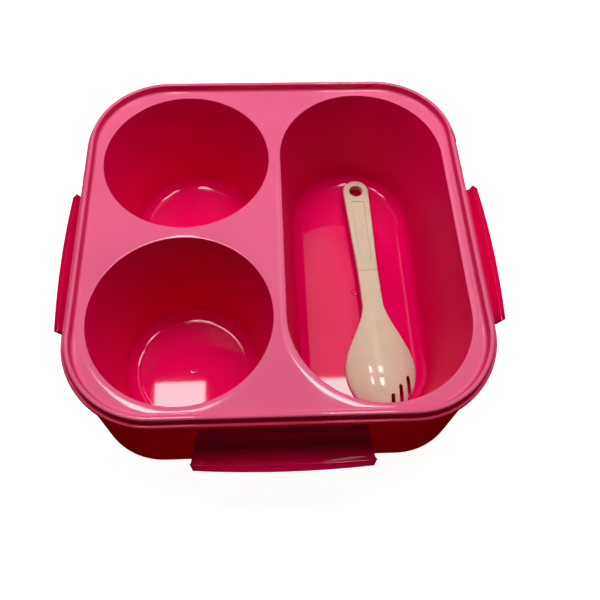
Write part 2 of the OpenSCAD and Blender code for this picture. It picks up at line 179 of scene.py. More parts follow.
class Draft:
    """A piece while its mesh is being made.

    Args:
        name: Name of the finished piece.
    """

    COLUMN = "column"
    START = "start"
    MERGE = 2e-6

    def __init__(self, name: str) -> None:
        clear_selection()
        bpy.ops.mesh.primitive_circle_add(vertices=3, radius=MM, fill_type="NOTHING")
        self.obj = bpy.context.object
        self.obj.name = name
        self.obj.data.name = name
        bpy.ops.object.mode_set(mode="EDIT")
        bpy.ops.mesh.delete(type="VERT")

    @property
    def mesh(self) -> bmesh.types.BMesh:
        """The mesh in edit mode."""
        return bmesh.from_edit_mesh(self.obj.data)

    def _place(self, ring: Ring, first: bool = False) -> None:
        """Puts the selected ring on an outline, column by column.

        Args:
            ring: The outline.
            first: Whether it is the first ring of a loft, which is noted on its vertices.
        """
        mesh = self.mesh
        column = mesh.verts.layers.int[self.COLUMN]
        start = mesh.verts.layers.int[self.START]
        for vertex in mesh.verts:
            if vertex.select:
                vertex.co = Vector(ring[vertex[column]]) * MM
                vertex[start] = int(first)
        bmesh.update_edit_mesh(self.obj.data)

    def _start(self, ring: Ring) -> None:
        """Adds a circle with as many vertices as the ring and puts it in place.

        Args:
            ring: The first outline of a loft.
        """
        bpy.ops.mesh.select_all(action="DESELECT")
        bpy.ops.mesh.primitive_circle_add(vertices=len(ring), radius=MM, fill_type="NOTHING")
        layers = self.mesh.verts.layers.int
        for name in (self.COLUMN, self.START):
            if name not in layers:
                layers.new(name)
        column = self.mesh.verts.layers.int[self.COLUMN]
        for i, vertex in enumerate(v for v in self.mesh.verts if v.select):
            vertex[column] = i
        bmesh.update_edit_mesh(self.obj.data)
        self._place(ring, first=True)

    def loft(self, rings: Iterable[Ring], close_start: bool = False, close_end: bool = False) -> None:
        """Extrudes one ring after another.

        Args:
            rings: Outlines with equal numbers of points.
            close_start: Whether a face closes the first ring.
            close_end: Whether a face closes the last ring.
        """
        rings = list(rings)
        self._start(rings[0])
        for before, ring in zip(rings, rings[1:]):
            rise = (ring[0][2] - before[0][2]) * MM
            bpy.ops.mesh.extrude_region_move(TRANSFORM_OT_translate={"value": (0, 0, rise)})
            self._place(ring)
        if close_end:
            bpy.ops.mesh.edge_face_add()
        self._end_start(close_start)

    def _end_start(self, close: bool) -> None:
        """Forgets which ring was the first.

        Args:
            close: Whether a face closes it before.
        """
        bpy.ops.mesh.select_all(action="DESELECT")
        mesh = self.mesh
        start = mesh.verts.layers.int[self.START]
        for vertex in mesh.verts:
            vertex.select = bool(vertex[start])
            vertex[start] = 0
        mesh.select_flush_mode()
        bmesh.update_edit_mesh(self.obj.data)
        if close:
            bpy.ops.mesh.edge_face_add()

    def fill_level(self, z: float) -> None:
        """Fills the flat area between all open rings at one height.

        Args:
            z: The height in millimetres.
        """
        bpy.ops.mesh.select_mode(type="EDGE")
        bpy.ops.mesh.select_all(action="DESELECT")
        mesh = self.mesh
        for edge in mesh.edges:
            level = all(abs(v.co.z - z * MM) < self.MERGE / 2 for v in edge.verts)
            edge.select = level and len(edge.link_faces) == 1
        mesh.select_flush_mode()
        bmesh.update_edit_mesh(self.obj.data)
        bpy.ops.mesh.fill(use_beauty=True)
        bpy.ops.mesh.select_mode(type="VERT")

    def finish(self) -> bpy.types.Object:
        """Merges doubles, points every face outward and smooths what turns gently.

        Returns:
            The finished object, in object mode.
        """
        bpy.ops.mesh.select_all(action="SELECT")
        bpy.ops.mesh.remove_doubles(threshold=self.MERGE)
        bpy.ops.mesh.normals_make_consistent(inside=False)
        bpy.ops.object.mode_set(mode="OBJECT")
        for name in (self.COLUMN, self.START):
            attribute = self.obj.data.attributes.get(name)
            if attribute:
                self.obj.data.attributes.remove(attribute)
        smooth(self.obj)
        return self.obj


def activate(obj: bpy.types.Object) -> None:
    """Makes one object the only selected one."""
    clear_selection()
    obj.select_set(True)
    bpy.context.view_layer.objects.active = obj


def smooth(obj: bpy.types.Object) -> None:
    """Shades as a curve what turns by no more than the smooth angle."""
    activate(obj)
    bpy.ops.object.shade_smooth_by_angle(angle=math.radians(SMOOTH_ANGLE))


def apply_modifier(obj: bpy.types.Object, kind: str, **settings: object) -> None:
    """Adds a modifier, sets it and applies it.

    Args:
        obj: The piece.
        kind: Blender's name of the modifier.
        **settings: Its settings.
    """
    activate(obj)
    modifier = obj.modifiers.new(kind.lower(), kind)
    for key, value in settings.items():
        setattr(modifier, key, value)
    bpy.ops.object.modifier_apply(modifier=modifier.name)


def cut_out(obj: bpy.types.Object, cutter: bpy.types.Object) -> None:
    """Cuts one closed mesh out of another and removes it.

    Args:
        obj: The piece.
        cutter: The air that is taken out of it.
    """
    apply_modifier(obj, "BOOLEAN", operation="DIFFERENCE", object=cutter, solver="MANIFOLD")
    bpy.data.objects.remove(cutter)


def copy_to(obj: bpy.types.Object, place: Matrix, name: str) -> bpy.types.Object:
    """Copies a piece with a mesh of its own and settles the copy.

    Args:
        obj: The piece.
        place: Where the copy goes, in metres.
        name: Name of the copy.

    Returns:
        The copy.
    """
    twin = obj.copy()
    twin.data = obj.data.copy()
    twin.name = name
    twin.data.name = name
    bpy.context.collection.objects.link(twin)
    settle(twin, place)
    return twin


def settle(obj: bpy.types.Object, place: Matrix) -> None:
    """Moves a piece and puts the move into its mesh.

    Args:
        obj: The piece.
        place: Where it goes, in metres.
    """
    activate(obj)
    obj.matrix_world = place
    bpy.ops.object.transform_apply(location=True, rotation=True, scale=True)


def join(pieces: Sequence[bpy.types.Object], name: str) -> bpy.types.Object:
    """Joins meshes into one piece.

    Args:
        pieces: The meshes; the first takes in the others.
        name: Name of the result.

    Returns:
        The joined piece.
    """
    activate(pieces[0])
    for piece in pieces[1:]:
        piece.select_set(True)
    bpy.ops.object.join()
    joined = bpy.context.object
    joined.name = name
    joined.data.name = name
    return joined


def triangles(obj: bpy.types.Object) -> int:
    """Number of triangles in a piece."""
    return sum(len(face.vertices) - 2 for face in obj.data.polygons)


def declare(obj: bpy.types.Object, body: str, node: str) -> None:
    """Fixes a finished piece to its body and reports it.

    Args:
        obj: The piece.
        body: The construction body that it rides on.
        node: The construction node that it stands for.
    """
    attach(obj, body)
    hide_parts(node)
    log.info("%s rides on %s, %d triangles", obj.name, body, triangles(obj))


# ---------------------------------------------------------------- finishes


def linear(hex_colour: str) -> Colour:
    """Turns an sRGB hex colour into linear light.

    Args:
        hex_colour: Such as "#db2260".

    Returns:
        Red, green, blue and full opacity.
    """
    values = [int(hex_colour[i : i + 2], 16) / 255 for i in (1, 3, 5)]
    light = [v / 12.92 if v <= 0.04045 else ((v + 0.055) / 1.055) ** 2.4 for v in values]
    return (light[0], light[1], light[2], 1.0)


class Graph:
    """The nodes of a material or of the world.

    Args:
        owner: The new material or world.
    """

    def __init__(self, owner: bpy.types.ID) -> None:
        owner.use_nodes = True
        self.owner = owner
        self.tree = owner.node_tree
        self.tree.nodes.clear()

    def add(self, kind: str, settings: dict[str, object] | None = None, **inputs: object) -> bpy.types.Node:
        """Adds a node with its settings and links.

        Args:
            kind: Blender's name of the node type.
            settings: Properties of the node; stops lists the positions and colours of a ramp.
            **inputs: Values or output sockets for its inputs. Spaces in a name are underscores, and
                input_0 and so on name an input by its place.

        Returns:
            The node.
        """
        node = self.tree.nodes.new(kind)
        for key, value in (settings or {}).items():
            if key == "stops":
                self._set_stops(node.color_ramp.elements, value)
            else:
                setattr(node, key, value)
        for key, value in inputs.items():
            place = key.partition("input_")[2]
            socket = node.inputs[int(place) if place else key.replace("_", " ")]
            if isinstance(value, Socket):
                self.tree.links.new(value, socket)
            else:
                socket.default_value = value
        return node

    @staticmethod
    def _set_stops(elements: bpy.types.ColorRampElements, stops: Sequence[Stop]) -> None:
        """Places the stops of a colour ramp.

        Args:
            elements: The ramp's own stops.
            stops: Positions and linear colours.
        """
        while len(elements) < len(stops):
            elements.new(0.5)
        for element, (position, colour) in zip(elements, stops):
            element.position = position
            element.color = colour


@dataclass(frozen=True)
class GlossPolypropylene:
    """Injection-moulded polypropylene from a polished mould.

    The pigment gives a saturated body colour that clouds very slightly. High faces that face upward
    are painted paler: a painted sheen that stands in for the pale wash of a broad light reflected in
    them. The polished mould gives a clear, slightly uneven gloss, and steep walls, which drag along
    the mould as they leave it, come out duller: walls lists heights in millimetres with the roughness
    there. A painted glow, a faint red emission, stands in for light that soaks through a thin wall
    from the far side and keeps it deep red in the shade.
    """

    name: str
    deep: str
    pale: str
    sheen_from_mm: float = 0.0
    sheen_to_mm: float = 1.0
    roughness: float = 0.07
    walls: tuple[tuple[float, float], ...] = ()
    sheen_facing_from: float = 0.55
    sheen_facing_to: float = 0.95
    cloud_mm: float = 40.0
    ripple_mm: float = 9.0
    ripple_height_mm: float = 0.002
    grain_mm: float = 0.7
    ior: float = 1.49
    specular: float = 0.5
    painted_glow: float = 0.0
    painted_glow_colour: str = "#ff0010"
    least_dull: float = 0.85
    most_dull: float = 1.2
    cloud: str = "#f6f6f6"

    def _dull(self, graph: Graph, height: Socket, grain: Socket) -> Socket:
        """Adds the roughness, broken up by a fine grain.

        Args:
            graph: The material's nodes.
            height: Height in metres.
            grain: Noise from 0 to 1.

        Returns:
            The roughness.
        """
        uneven = graph.add(
            "ShaderNodeMapRange",
            Value=grain,
            From_Min=0.3,
            From_Max=0.7,
            To_Min=self.least_dull,
            To_Max=self.most_dull,
        ).outputs["Result"]
        base: Socket | float = self.roughness
        if self.walls:
            top = self.walls[-1][0]
            share = graph.add("ShaderNodeMapRange", Value=height, From_Min=0.0, From_Max=top * MM)
            stops = [(z / top, (value, value, value, 1.0)) for z, value in self.walls]
            base = graph.add(
                "ShaderNodeValToRGB", {"stops": stops}, Fac=share.outputs["Result"]
            ).outputs["Color"]
        product = graph.add("ShaderNodeMath", {"operation": "MULTIPLY"}, input_0=uneven, input_1=base)
        return product.outputs["Value"]

    def _colour(self, graph: Graph, texture: bpy.types.Node, height: Socket) -> Socket:
        """Adds the pigment's colour, with a painted sheen on high faces that face upward.

        Args:
            graph: The material's nodes.
            texture: The Texture Coordinate node.
            height: Height in metres.

        Returns:
            The colour.
        """
        # Painted sheen: faces that are high and face upward are painted paler, standing in for the wash of
        # a broad light reflected in them.
        upward = graph.add("ShaderNodeSeparateXYZ", Vector=texture.outputs["Normal"]).outputs["Z"]
        shares = []
        for value, low, high in (
            (height, self.sheen_from_mm * MM, self.sheen_to_mm * MM),
            (upward, self.sheen_facing_from, self.sheen_facing_to),
        ):
            step = graph.add(
                "ShaderNodeMapRange",
                {"interpolation_type": "SMOOTHSTEP"},
                Value=value,
                From_Min=low,
                From_Max=high,
            )
            shares.append(step.outputs["Result"])
        share = graph.add(
            "ShaderNodeMath", {"operation": "MULTIPLY"}, input_0=shares[0], input_1=shares[1]
        ).outputs["Value"]
        tones = [(0.0, linear(self.deep)), (1.0, linear(self.pale))]
        body = graph.add("ShaderNodeValToRGB", {"stops": tones}, Fac=share)
        cloud = graph.add(
            "ShaderNodeTexNoise",
            Vector=texture.outputs["Object"],
            Scale=1 / (self.cloud_mm * MM),
            Detail=3.0,
            Roughness=0.5,
        ).outputs["Fac"]
        shades = [(0.35, linear("#ffffff")), (0.65, linear(self.cloud))]
        shade = graph.add("ShaderNodeValToRGB", {"stops": shades}, Fac=cloud)
        mixed = graph.add(
            "ShaderNodeMix",
            {"data_type": "RGBA", "blend_type": "MULTIPLY"},
            input_0=1.0,
            input_6=body.outputs["Color"],
            input_7=shade.outputs["Color"],
        )
        return mixed.outputs[2]

    def build(self) -> bpy.types.Material:
        """Builds the material.

        Returns:
            The material.
        """
        graph = Graph(bpy.data.materials.new(self.name))
        texture = graph.add("ShaderNodeTexCoord")
        place = texture.outputs["Object"]
        grain = graph.add(
            "ShaderNodeTexNoise", Vector=place, Scale=1 / (self.grain_mm * MM), Detail=2.0, Roughness=0.6
        ).outputs["Fac"]
        height = graph.add("ShaderNodeSeparateXYZ", Vector=place).outputs["Z"]
        ripple = graph.add(
            "ShaderNodeTexNoise",
            Vector=place,
            Scale=1 / (self.ripple_mm * MM),
            Detail=1.0,
            Roughness=0.4,
        ).outputs["Fac"]
        bump = graph.add(
            "ShaderNodeBump", Height=ripple, Strength=1.0, Distance=self.ripple_height_mm * MM
        ).outputs["Normal"]
        shader = graph.add(
            "ShaderNodeBsdfPrincipled",
            Base_Color=self._colour(graph, texture, height),
            Roughness=self._dull(graph, height, grain),
            IOR=self.ior,
            Specular_IOR_Level=self.specular,
            # Painted glow: a faint emission stands in for light that soaks through the wall and lights it
            # in the shade.
            Emission_Color=linear(self.painted_glow_colour),
            Emission_Strength=self.painted_glow,
            Normal=bump,
        )
        graph.add("ShaderNodeOutputMaterial", Surface=shader.outputs["BSDF"])
        return graph.owner


@dataclass(frozen=True)
class WheatPlastic:
    """Polypropylene filled with ground wheat straw, injection moulded.

    Short fibres and bran show as fine darker and paler flecks in a beige body, and blunt the gloss.
    """

    name: str
    colour: str
    pale: str
    fleck: str
    roughness: float = 0.3
    fleck_mm: float = 0.55
    fleck_share: float = 0.45
    cloud_mm: float = 12.0
    grain_height_mm: float = 0.006
    ior: float = 1.49

    def build(self) -> bpy.types.Material:
        """Builds the material.

        Returns:
            The material.
        """
        graph = Graph(bpy.data.materials.new(self.name))
        place = graph.add("ShaderNodeTexCoord").outputs["Object"]
        cloud = graph.add(
            "ShaderNodeTexNoise", Vector=place, Scale=1 / (self.cloud_mm * MM), Detail=4.0, Roughness=0.6
        ).outputs["Fac"]
        tones = [(0.3, linear(self.colour)), (0.7, linear(self.pale))]
        body = graph.add("ShaderNodeValToRGB", {"stops": tones}, Fac=cloud)
        fleck = graph.add(
            "ShaderNodeTexNoise", Vector=place, Scale=1 / (self.fleck_mm * MM), Detail=3.0, Roughness=0.7
        ).outputs["Fac"]
        mask = graph.add(
            "ShaderNodeMapRange",
            Value=fleck,
            From_Min=0.6,
            From_Max=0.72,
            To_Min=0.0,
            To_Max=self.fleck_share,
        )
        mixed = graph.add(
            "ShaderNodeMix",
            {"data_type": "RGBA"},
            input_0=mask.outputs["Result"],
            input_6=body.outputs["Color"],
            input_7=linear(self.fleck),
        )
        bump = graph.add(
            "ShaderNodeBump", Height=fleck, Strength=1.0, Distance=self.grain_height_mm * MM
        ).outputs["Normal"]
        shader = graph.add(
            "ShaderNodeBsdfPrincipled",
            Base_Color=mixed.outputs[2],
            Roughness=self.roughness,
            IOR=self.ior,
            Normal=bump,
        )
        graph.add("ShaderNodeOutputMaterial", Surface=shader.outputs["BSDF"])
        return graph.owner


class Finish(Enum):
    """The plastics that the lunch box is moulded in."""

    # The pale tone on the tray's plate and lip top is a painted sheen, the wash of a broad light reflected
    # in them.
    TRAY = GlossPolypropylene(
        "gloss_polypropylene_pink",
        deep="#d80051",
        pale="#de5e83",
        sheen_from_mm=67.5,
        sheen_to_mm=69.9,
        sheen_facing_from=0.2,
        sheen_facing_to=0.9,
        walls=((0.0, 0.035), (7.0, 0.04), (10.5, 0.3), (66.0, 0.3), (68.5, 0.07), (74.5, 0.07)),
    )
    WALLS = GlossPolypropylene(
        "satin_polypropylene_pink", deep="#de0050", pale="#de0050", roughness=0.45, specular=0.12
    )
    # The pale tone on the rim's top and rounded nose is a painted highlight that brightens the rim where
    # the lamps leave it dark.
    BOX = GlossPolypropylene(
        "gloss_polypropylene_berry",
        deep="#cc0030",
        pale="#dc4a76",
        sheen_from_mm=64.0,
        sheen_to_mm=67.0,
        sheen_facing_from=-0.2,
        sheen_facing_to=0.6,
        # painted glow: a red emission for light that soaks through the thin wall
        painted_glow=0.078,
    )
    LATCH = GlossPolypropylene("gloss_polypropylene_latch", deep="#dc0448", pale="#dc0448")
    SPORK = WheatPlastic(
        "wheat_straw_polypropylene", colour="#c4b39c", pale="#cabda7", fleck="#a08a6c", roughness=0.07
    )

    @property
    def material(self) -> bpy.types.Material:
        """The finish's material, built when it is first asked for."""
        return bpy.data.materials.get(self.value.name) or self.value.build()

    def dress(self, obj: bpy.types.Object) -> None:
        """Gives a piece this finish.

        Args:
            obj: The piece.
        """
        obj.data.materials.clear()
        obj.data.materials.append(self.material)

    def dress_band(self, obj: bpy.types.Object, low: float, high: float) -> None:
        """Gives this finish to the faces of a piece that stand between two heights.

        Args:
            obj: The piece, already dressed.
            low: Lowest height in millimetres.
            high: Highest height in millimetres.
        """
        obj.data.materials.append(self.material)
        last = len(obj.data.materials) - 1
        for face in obj.data.polygons:
            if low * MM < face.center.z < high * MM:
                face.material_index = last


# ---------------------------------------------------------------- sizes that pieces share


@dataclass(frozen=True)
class Layout:
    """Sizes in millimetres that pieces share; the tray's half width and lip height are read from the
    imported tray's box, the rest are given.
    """

    wall: float = 1.8
    lip_h: float = 4.3
    rim_rise: float = 0.5
    well_depth: float = 66.0
    web: float = 6.2
    lip_t: float = 2.3
    cup_margin: float = 5.2
    trough_margin: float = 4.5
    rim_bead: float = 1.5
    tray_gap: float = 0.5
    rim_corner: float = 43.0
    rim_overhang: float = 3.1
    wall_corner: float = 37.0
    barrel_gap: float = 0.4
    barrel_r: float = 1.6
    barrel_drop: float = 1.2

    @property
    def lip_out(self) -> float:
        """Half the tray's width."""
        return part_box("inner_tray")[1][0] / MM

    @property
    def lip_top(self) -> float:
        """Height of the tray's lip."""
        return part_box("inner_tray")[1][2] / MM

    @property
    def plate_z(self) -> float:
        """Height of the tray's plate."""
        return self.lip_top - self.lip_h

    @property
    def ledge_z(self) -> float:
        """Height of the ledge that the tray rests on."""
        return self.plate_z - self.wall

    @property
    def rim_half(self) -> float:
        """Half the width of the box across its rim."""
        return self.lip_out + self.tray_gap + self.rim_bead

    @property
    def rim_centre(self) -> float:
        """Centre of the rim's corners."""
        return self.rim_half - self.rim_corner

    @property
    def wall_out(self) -> float:
        """Half the width of the box at its wall."""
        return self.rim_half - self.rim_overhang

    @property
    def hinge_out(self) -> float:
        """Distance of the latches' hinges from the middle of the box."""
        return self.wall_out + self.barrel_gap + self.barrel_r

    @property
    def floor_z(self) -> float:
        """Height of the wells' floors."""
        return self.plate_z - self.well_depth

    @property
    def lip_in(self) -> float:
        """Half the width inside the lip."""
        return self.lip_out - self.lip_t

    @property
    def cup_r(self) -> float:
        """Radius of a cup at its mouth."""
        return (self.lip_in - self.cup_margin - self.web / 2) / 2

    @property
    def cup_at(self) -> float:
        """Distance of the wells' middles from the middle of the box."""
        return self.web / 2 + self.cup_r

    @property
    def trough_run(self) -> float:
        """Half the straight length of the long well."""
        return self.lip_in - self.trough_margin - self.cup_r


class Side(Enum):
    """The four sides, by the quarter turns from the front."""

    FRONT = 0
    RIGHT = 1
    REAR = 2
    LEFT = 3

    @property
    def turn(self) -> Matrix:
        """The turn about the middle of the box that takes the front to this side."""
        return Matrix.Rotation(math.radians(90 * self.value), 4, "Z")


# ---------------------------------------------------------------- inner tray


@dataclass
class Well:
    """One well of the tray: a dished rim, a soft mouth, a leaning wall and a filleted floor.

    Its middle, its straight run and the box in which its dished rim has room come from the layout;
    the other sizes are in millimetres.
    """

    layout: Layout
    x: float
    y: float
    low: Point2
    high: Point2
    run: float = 0.0
    lean: float = 8.0
    fillet: float = 7.0
    mouth_r: float = 0.5
    dish_w: float = 3.8
    dish_h: float = 0.28
    dish_power: float = 1.6
    flat: float = 0.1
    gate_r: float = 2.4
    gate_h: float = 0.5
    gate_edge_r: float = 0.12
    gate_sunk: float = 0.2
    dimple_r: float = 1.1
    dimple_lean: float = 0.3
    dimple_depth: float = 0.35
    root_r: float = 0.8

    @property
    def floor_r(self) -> float:
        """Radius of the flat floor."""
        return self.layout.cup_r - self.lean - self.fillet

    @property
    def draft(self) -> float:
        """Angle of the wall to the vertical, in degrees, tangent to the fillet and the mouth."""
        across = self.lean + self.fillet + self.mouth_r
        down = self.layout.well_depth - self.fillet - self.mouth_r
        reach = math.hypot(across, down)
        both = self.fillet + self.mouth_r
        return math.degrees(math.acos(both / reach) - math.atan2(down, across))

    def _dish(self) -> list[Ring]:
        """Lists the rings from the flat plate down the dished rim to the mouth.

        The dish is narrower where the lip or the next well leaves it less room.

        Returns:
            The rings.
        """
        plate = self.layout.plate_z
        start = self._mouth()[0][0]
        steps = 8
        middle = stadium(self.x, self.y, start, self.run, plate)
        profile = [(1.0, self.flat, 0.0)]
        for i in range(steps + 1):
            profile.append((1 - i / steps, 0.0, self.dish_h * (i / steps) ** self.dish_power))
        rings: list[Ring] = []
        for share, extra, drop in profile:
            ring: Ring = []
            for px, py, _ in middle:
                end_y = self.y + max(-self.run, min(self.run, py - self.y))
                ux, uy = (px - self.x) / start, (py - end_y) / start
                room = reach_in_box(self.x, end_y, (ux, uy), self.low, self.high) - start
                grow = min(self.dish_w, room) * share + extra
                ring.append((px + ux * grow, py + uy * grow, plate - drop))
            rings.append(ring)
        return rings

    def _mouth(self) -> list[Point2]:
        """Half section of the mouth, from the dished rim down to the wall.

        Returns:
            Radii and heights.
        """
        slope = math.degrees(math.atan(self.dish_power * self.dish_h / self.dish_w))
        r = self.mouth_r
        top = self.layout.plate_z - self.dish_h
        x = self.layout.cup_r + r
        z = top - r * math.cos(math.radians(slope))
        return arc(x, z, r, 90 + slope, 180 - self.draft, 8)

    def inside(self) -> list[Ring]:
        """Lists the rings of the inside, from the plate to the floor.

        Returns:
            The rings.
        """
        z = self.layout.floor_z
        fillet = arc(self.floor_r, z + self.fillet, self.fillet, -self.draft, -90, 12)
        section = self._mouth()[1:] + fillet + [(self.floor_r - self.flat, z)]
        return self._dish() + self._rings(section)

    def outside(self) -> list[Point2]:
        """Half section of the outside, from the plate's underside to the floor's.

        Returns:
            Radii and heights.
        """
        wall = self.layout.wall
        draft = math.radians(self.draft)
        fillet = self.fillet + wall
        centre_z = self.layout.floor_z + self.fillet
        top_z = self.layout.ledge_z
        foot_x = self.floor_r + fillet * math.cos(draft)
        foot_z = centre_z - fillet * math.sin(draft)
        top_x = foot_x + (top_z - foot_z) * math.tan(draft)
        root = self.root_r
        corner = arc(top_x + root, top_z - root, root, 90, 180 - self.draft, 4)
        curve = arc(self.floor_r, centre_z, fillet, -self.draft, -90, 10)
        return [(top_x + root + self.flat, top_z)] + corner + curve

    def _rings(self, section: Sequence[Point2]) -> list[Ring]:
        """Turns a half section into rings round the well.

        Args:
            section: Radii and heights.

        Returns:
            A ring for each of them.
        """
        return [stadium(self.x, self.y, r, self.run, z) for r, z in section]

    def mould(self, draft: Draft) -> None:
        """Adds the well's two walls to the tray.

        Args:
            draft: The tray under construction.
        """
        draft.loft(self.inside(), close_end=True)
        draft.loft(self._rings(self.outside()), close_end=True)

    def mould_gate(self, draft: Draft) -> None:
        """Adds the small disc where the plastic entered the mould.

        Args:
            draft: The tray under construction.
        """
        z = self.layout.floor_z
        top = z + self.gate_h
        soft = self.gate_edge_r
        section = [(self.gate_r, z - self.gate_sunk), (self.gate_r, z)]
        section += arc(self.gate_r - soft, top - soft, soft, 0, 90, 3)
        section += [(self.dimple_r + self.dimple_lean, top), (self.dimple_r, top - self.dimple_depth)]
        rings = [stadium(self.x, self.y, r, 0, height, 16) for r, height in section]
        draft.loft(rings, close_start=True, close_end=True)


@dataclass
class Tray:
    """The lift-out tray: plate, lip, two cups and the long well in one moulding."""

    layout: Layout
    edge_r: float = 1.0
    lip_draft: float = 0.35
    foot_r: float = 1.6
    flat: float = 0.1
    skirt_h: float = 4.0
    skirt_t: float = 1.5
    skirt_out: float = 93.8
    skirt_corner: float = 34.6
    under_r: float = 0.3
    web_gap: float = 0.2
    side_gap: float = 0.5
    satin: Point2 = (10.4, 68.2)
    wells: list[Well] = field(init=False)

    def __post_init__(self) -> None:
        """Places the three wells."""
        at = self.layout.cup_at
        gap = self.web_gap
        edge = self.layout.lip_in - self.lip_draft - self.foot_r - self.flat - self.side_gap
        self.wells = [
            Well(self.layout, -at, at, (-edge, gap), (-gap, edge)),
            Well(self.layout, -at, -at, (-edge, -edge), (-gap, -gap)),
            Well(self.layout, at, 0.0, (gap, -edge), (edge, edge), self.layout.trough_run),
        ]

    def _lip(self) -> list[Ring]:
        """Lists the rings over the lip, from the plate's top to its ledge.

        Returns:
            The rings.
        """
        part = self.layout
        top, plate, ledge = part.lip_top, part.plate_z, part.ledge_z
        outer, inner = part.lip_out, part.lip_in
        foot = inner - self.lip_draft
        root = self.foot_r
        under = self.under_r
        section = [(foot - root - self.flat, plate)]
        section += arc(foot - root, plate + root, root, -90, 0, 4)
        section += arc(inner + self.edge_r, top - self.edge_r, self.edge_r, 180, 90, 6)
        section += arc(outer - self.edge_r, top - self.edge_r, self.edge_r, 90, 0, 6)
        section += arc(outer - under, ledge + under, under, 0, -90, 3)
        return [rounded_square(half, half - part.rim_centre, z) for half, z in section]

    def _skirt(self) -> list[Ring]:
        """Lists the rings down and up the skirt, from the ledge to the plate's underside.

        Returns:
            The rings.
        """
        ledge = self.layout.ledge_z
        end = ledge - self.skirt_h
        soft = self.under_r
        inner = self.skirt_out - self.skirt_t
        section = [(self.skirt_out, ledge), (self.skirt_out, end + soft)]
        section += arc(self.skirt_out - soft, end + soft, soft, 0, -90, 3)
        section += arc(inner + soft, end + soft, soft, -90, -180, 3)
        section += [(inner, ledge)]
        corner = self.skirt_corner - self.skirt_out
        return [rounded_square(half, corner + half, z) for half, z in section]

    def build(self) -> bpy.types.Object:
        """Models the tray.

        Returns:
            The finished piece.
        """
        draft = Draft("tray_shell")
        draft.loft(self._lip() + self._skirt())
        for well in self.wells:
            well.mould(draft)
        draft.fill_level(self.layout.plate_z)
        draft.fill_level(self.layout.ledge_z)
        for well in self.wells:
            well.mould_gate(draft)
        tray = draft.finish()
        Finish.TRAY.dress(tray)
        Finish.WALLS.dress_band(tray, *self.satin)
        declare(tray, "tray", "inner_tray")
        return tray


# ---------------------------------------------------------------- outer box


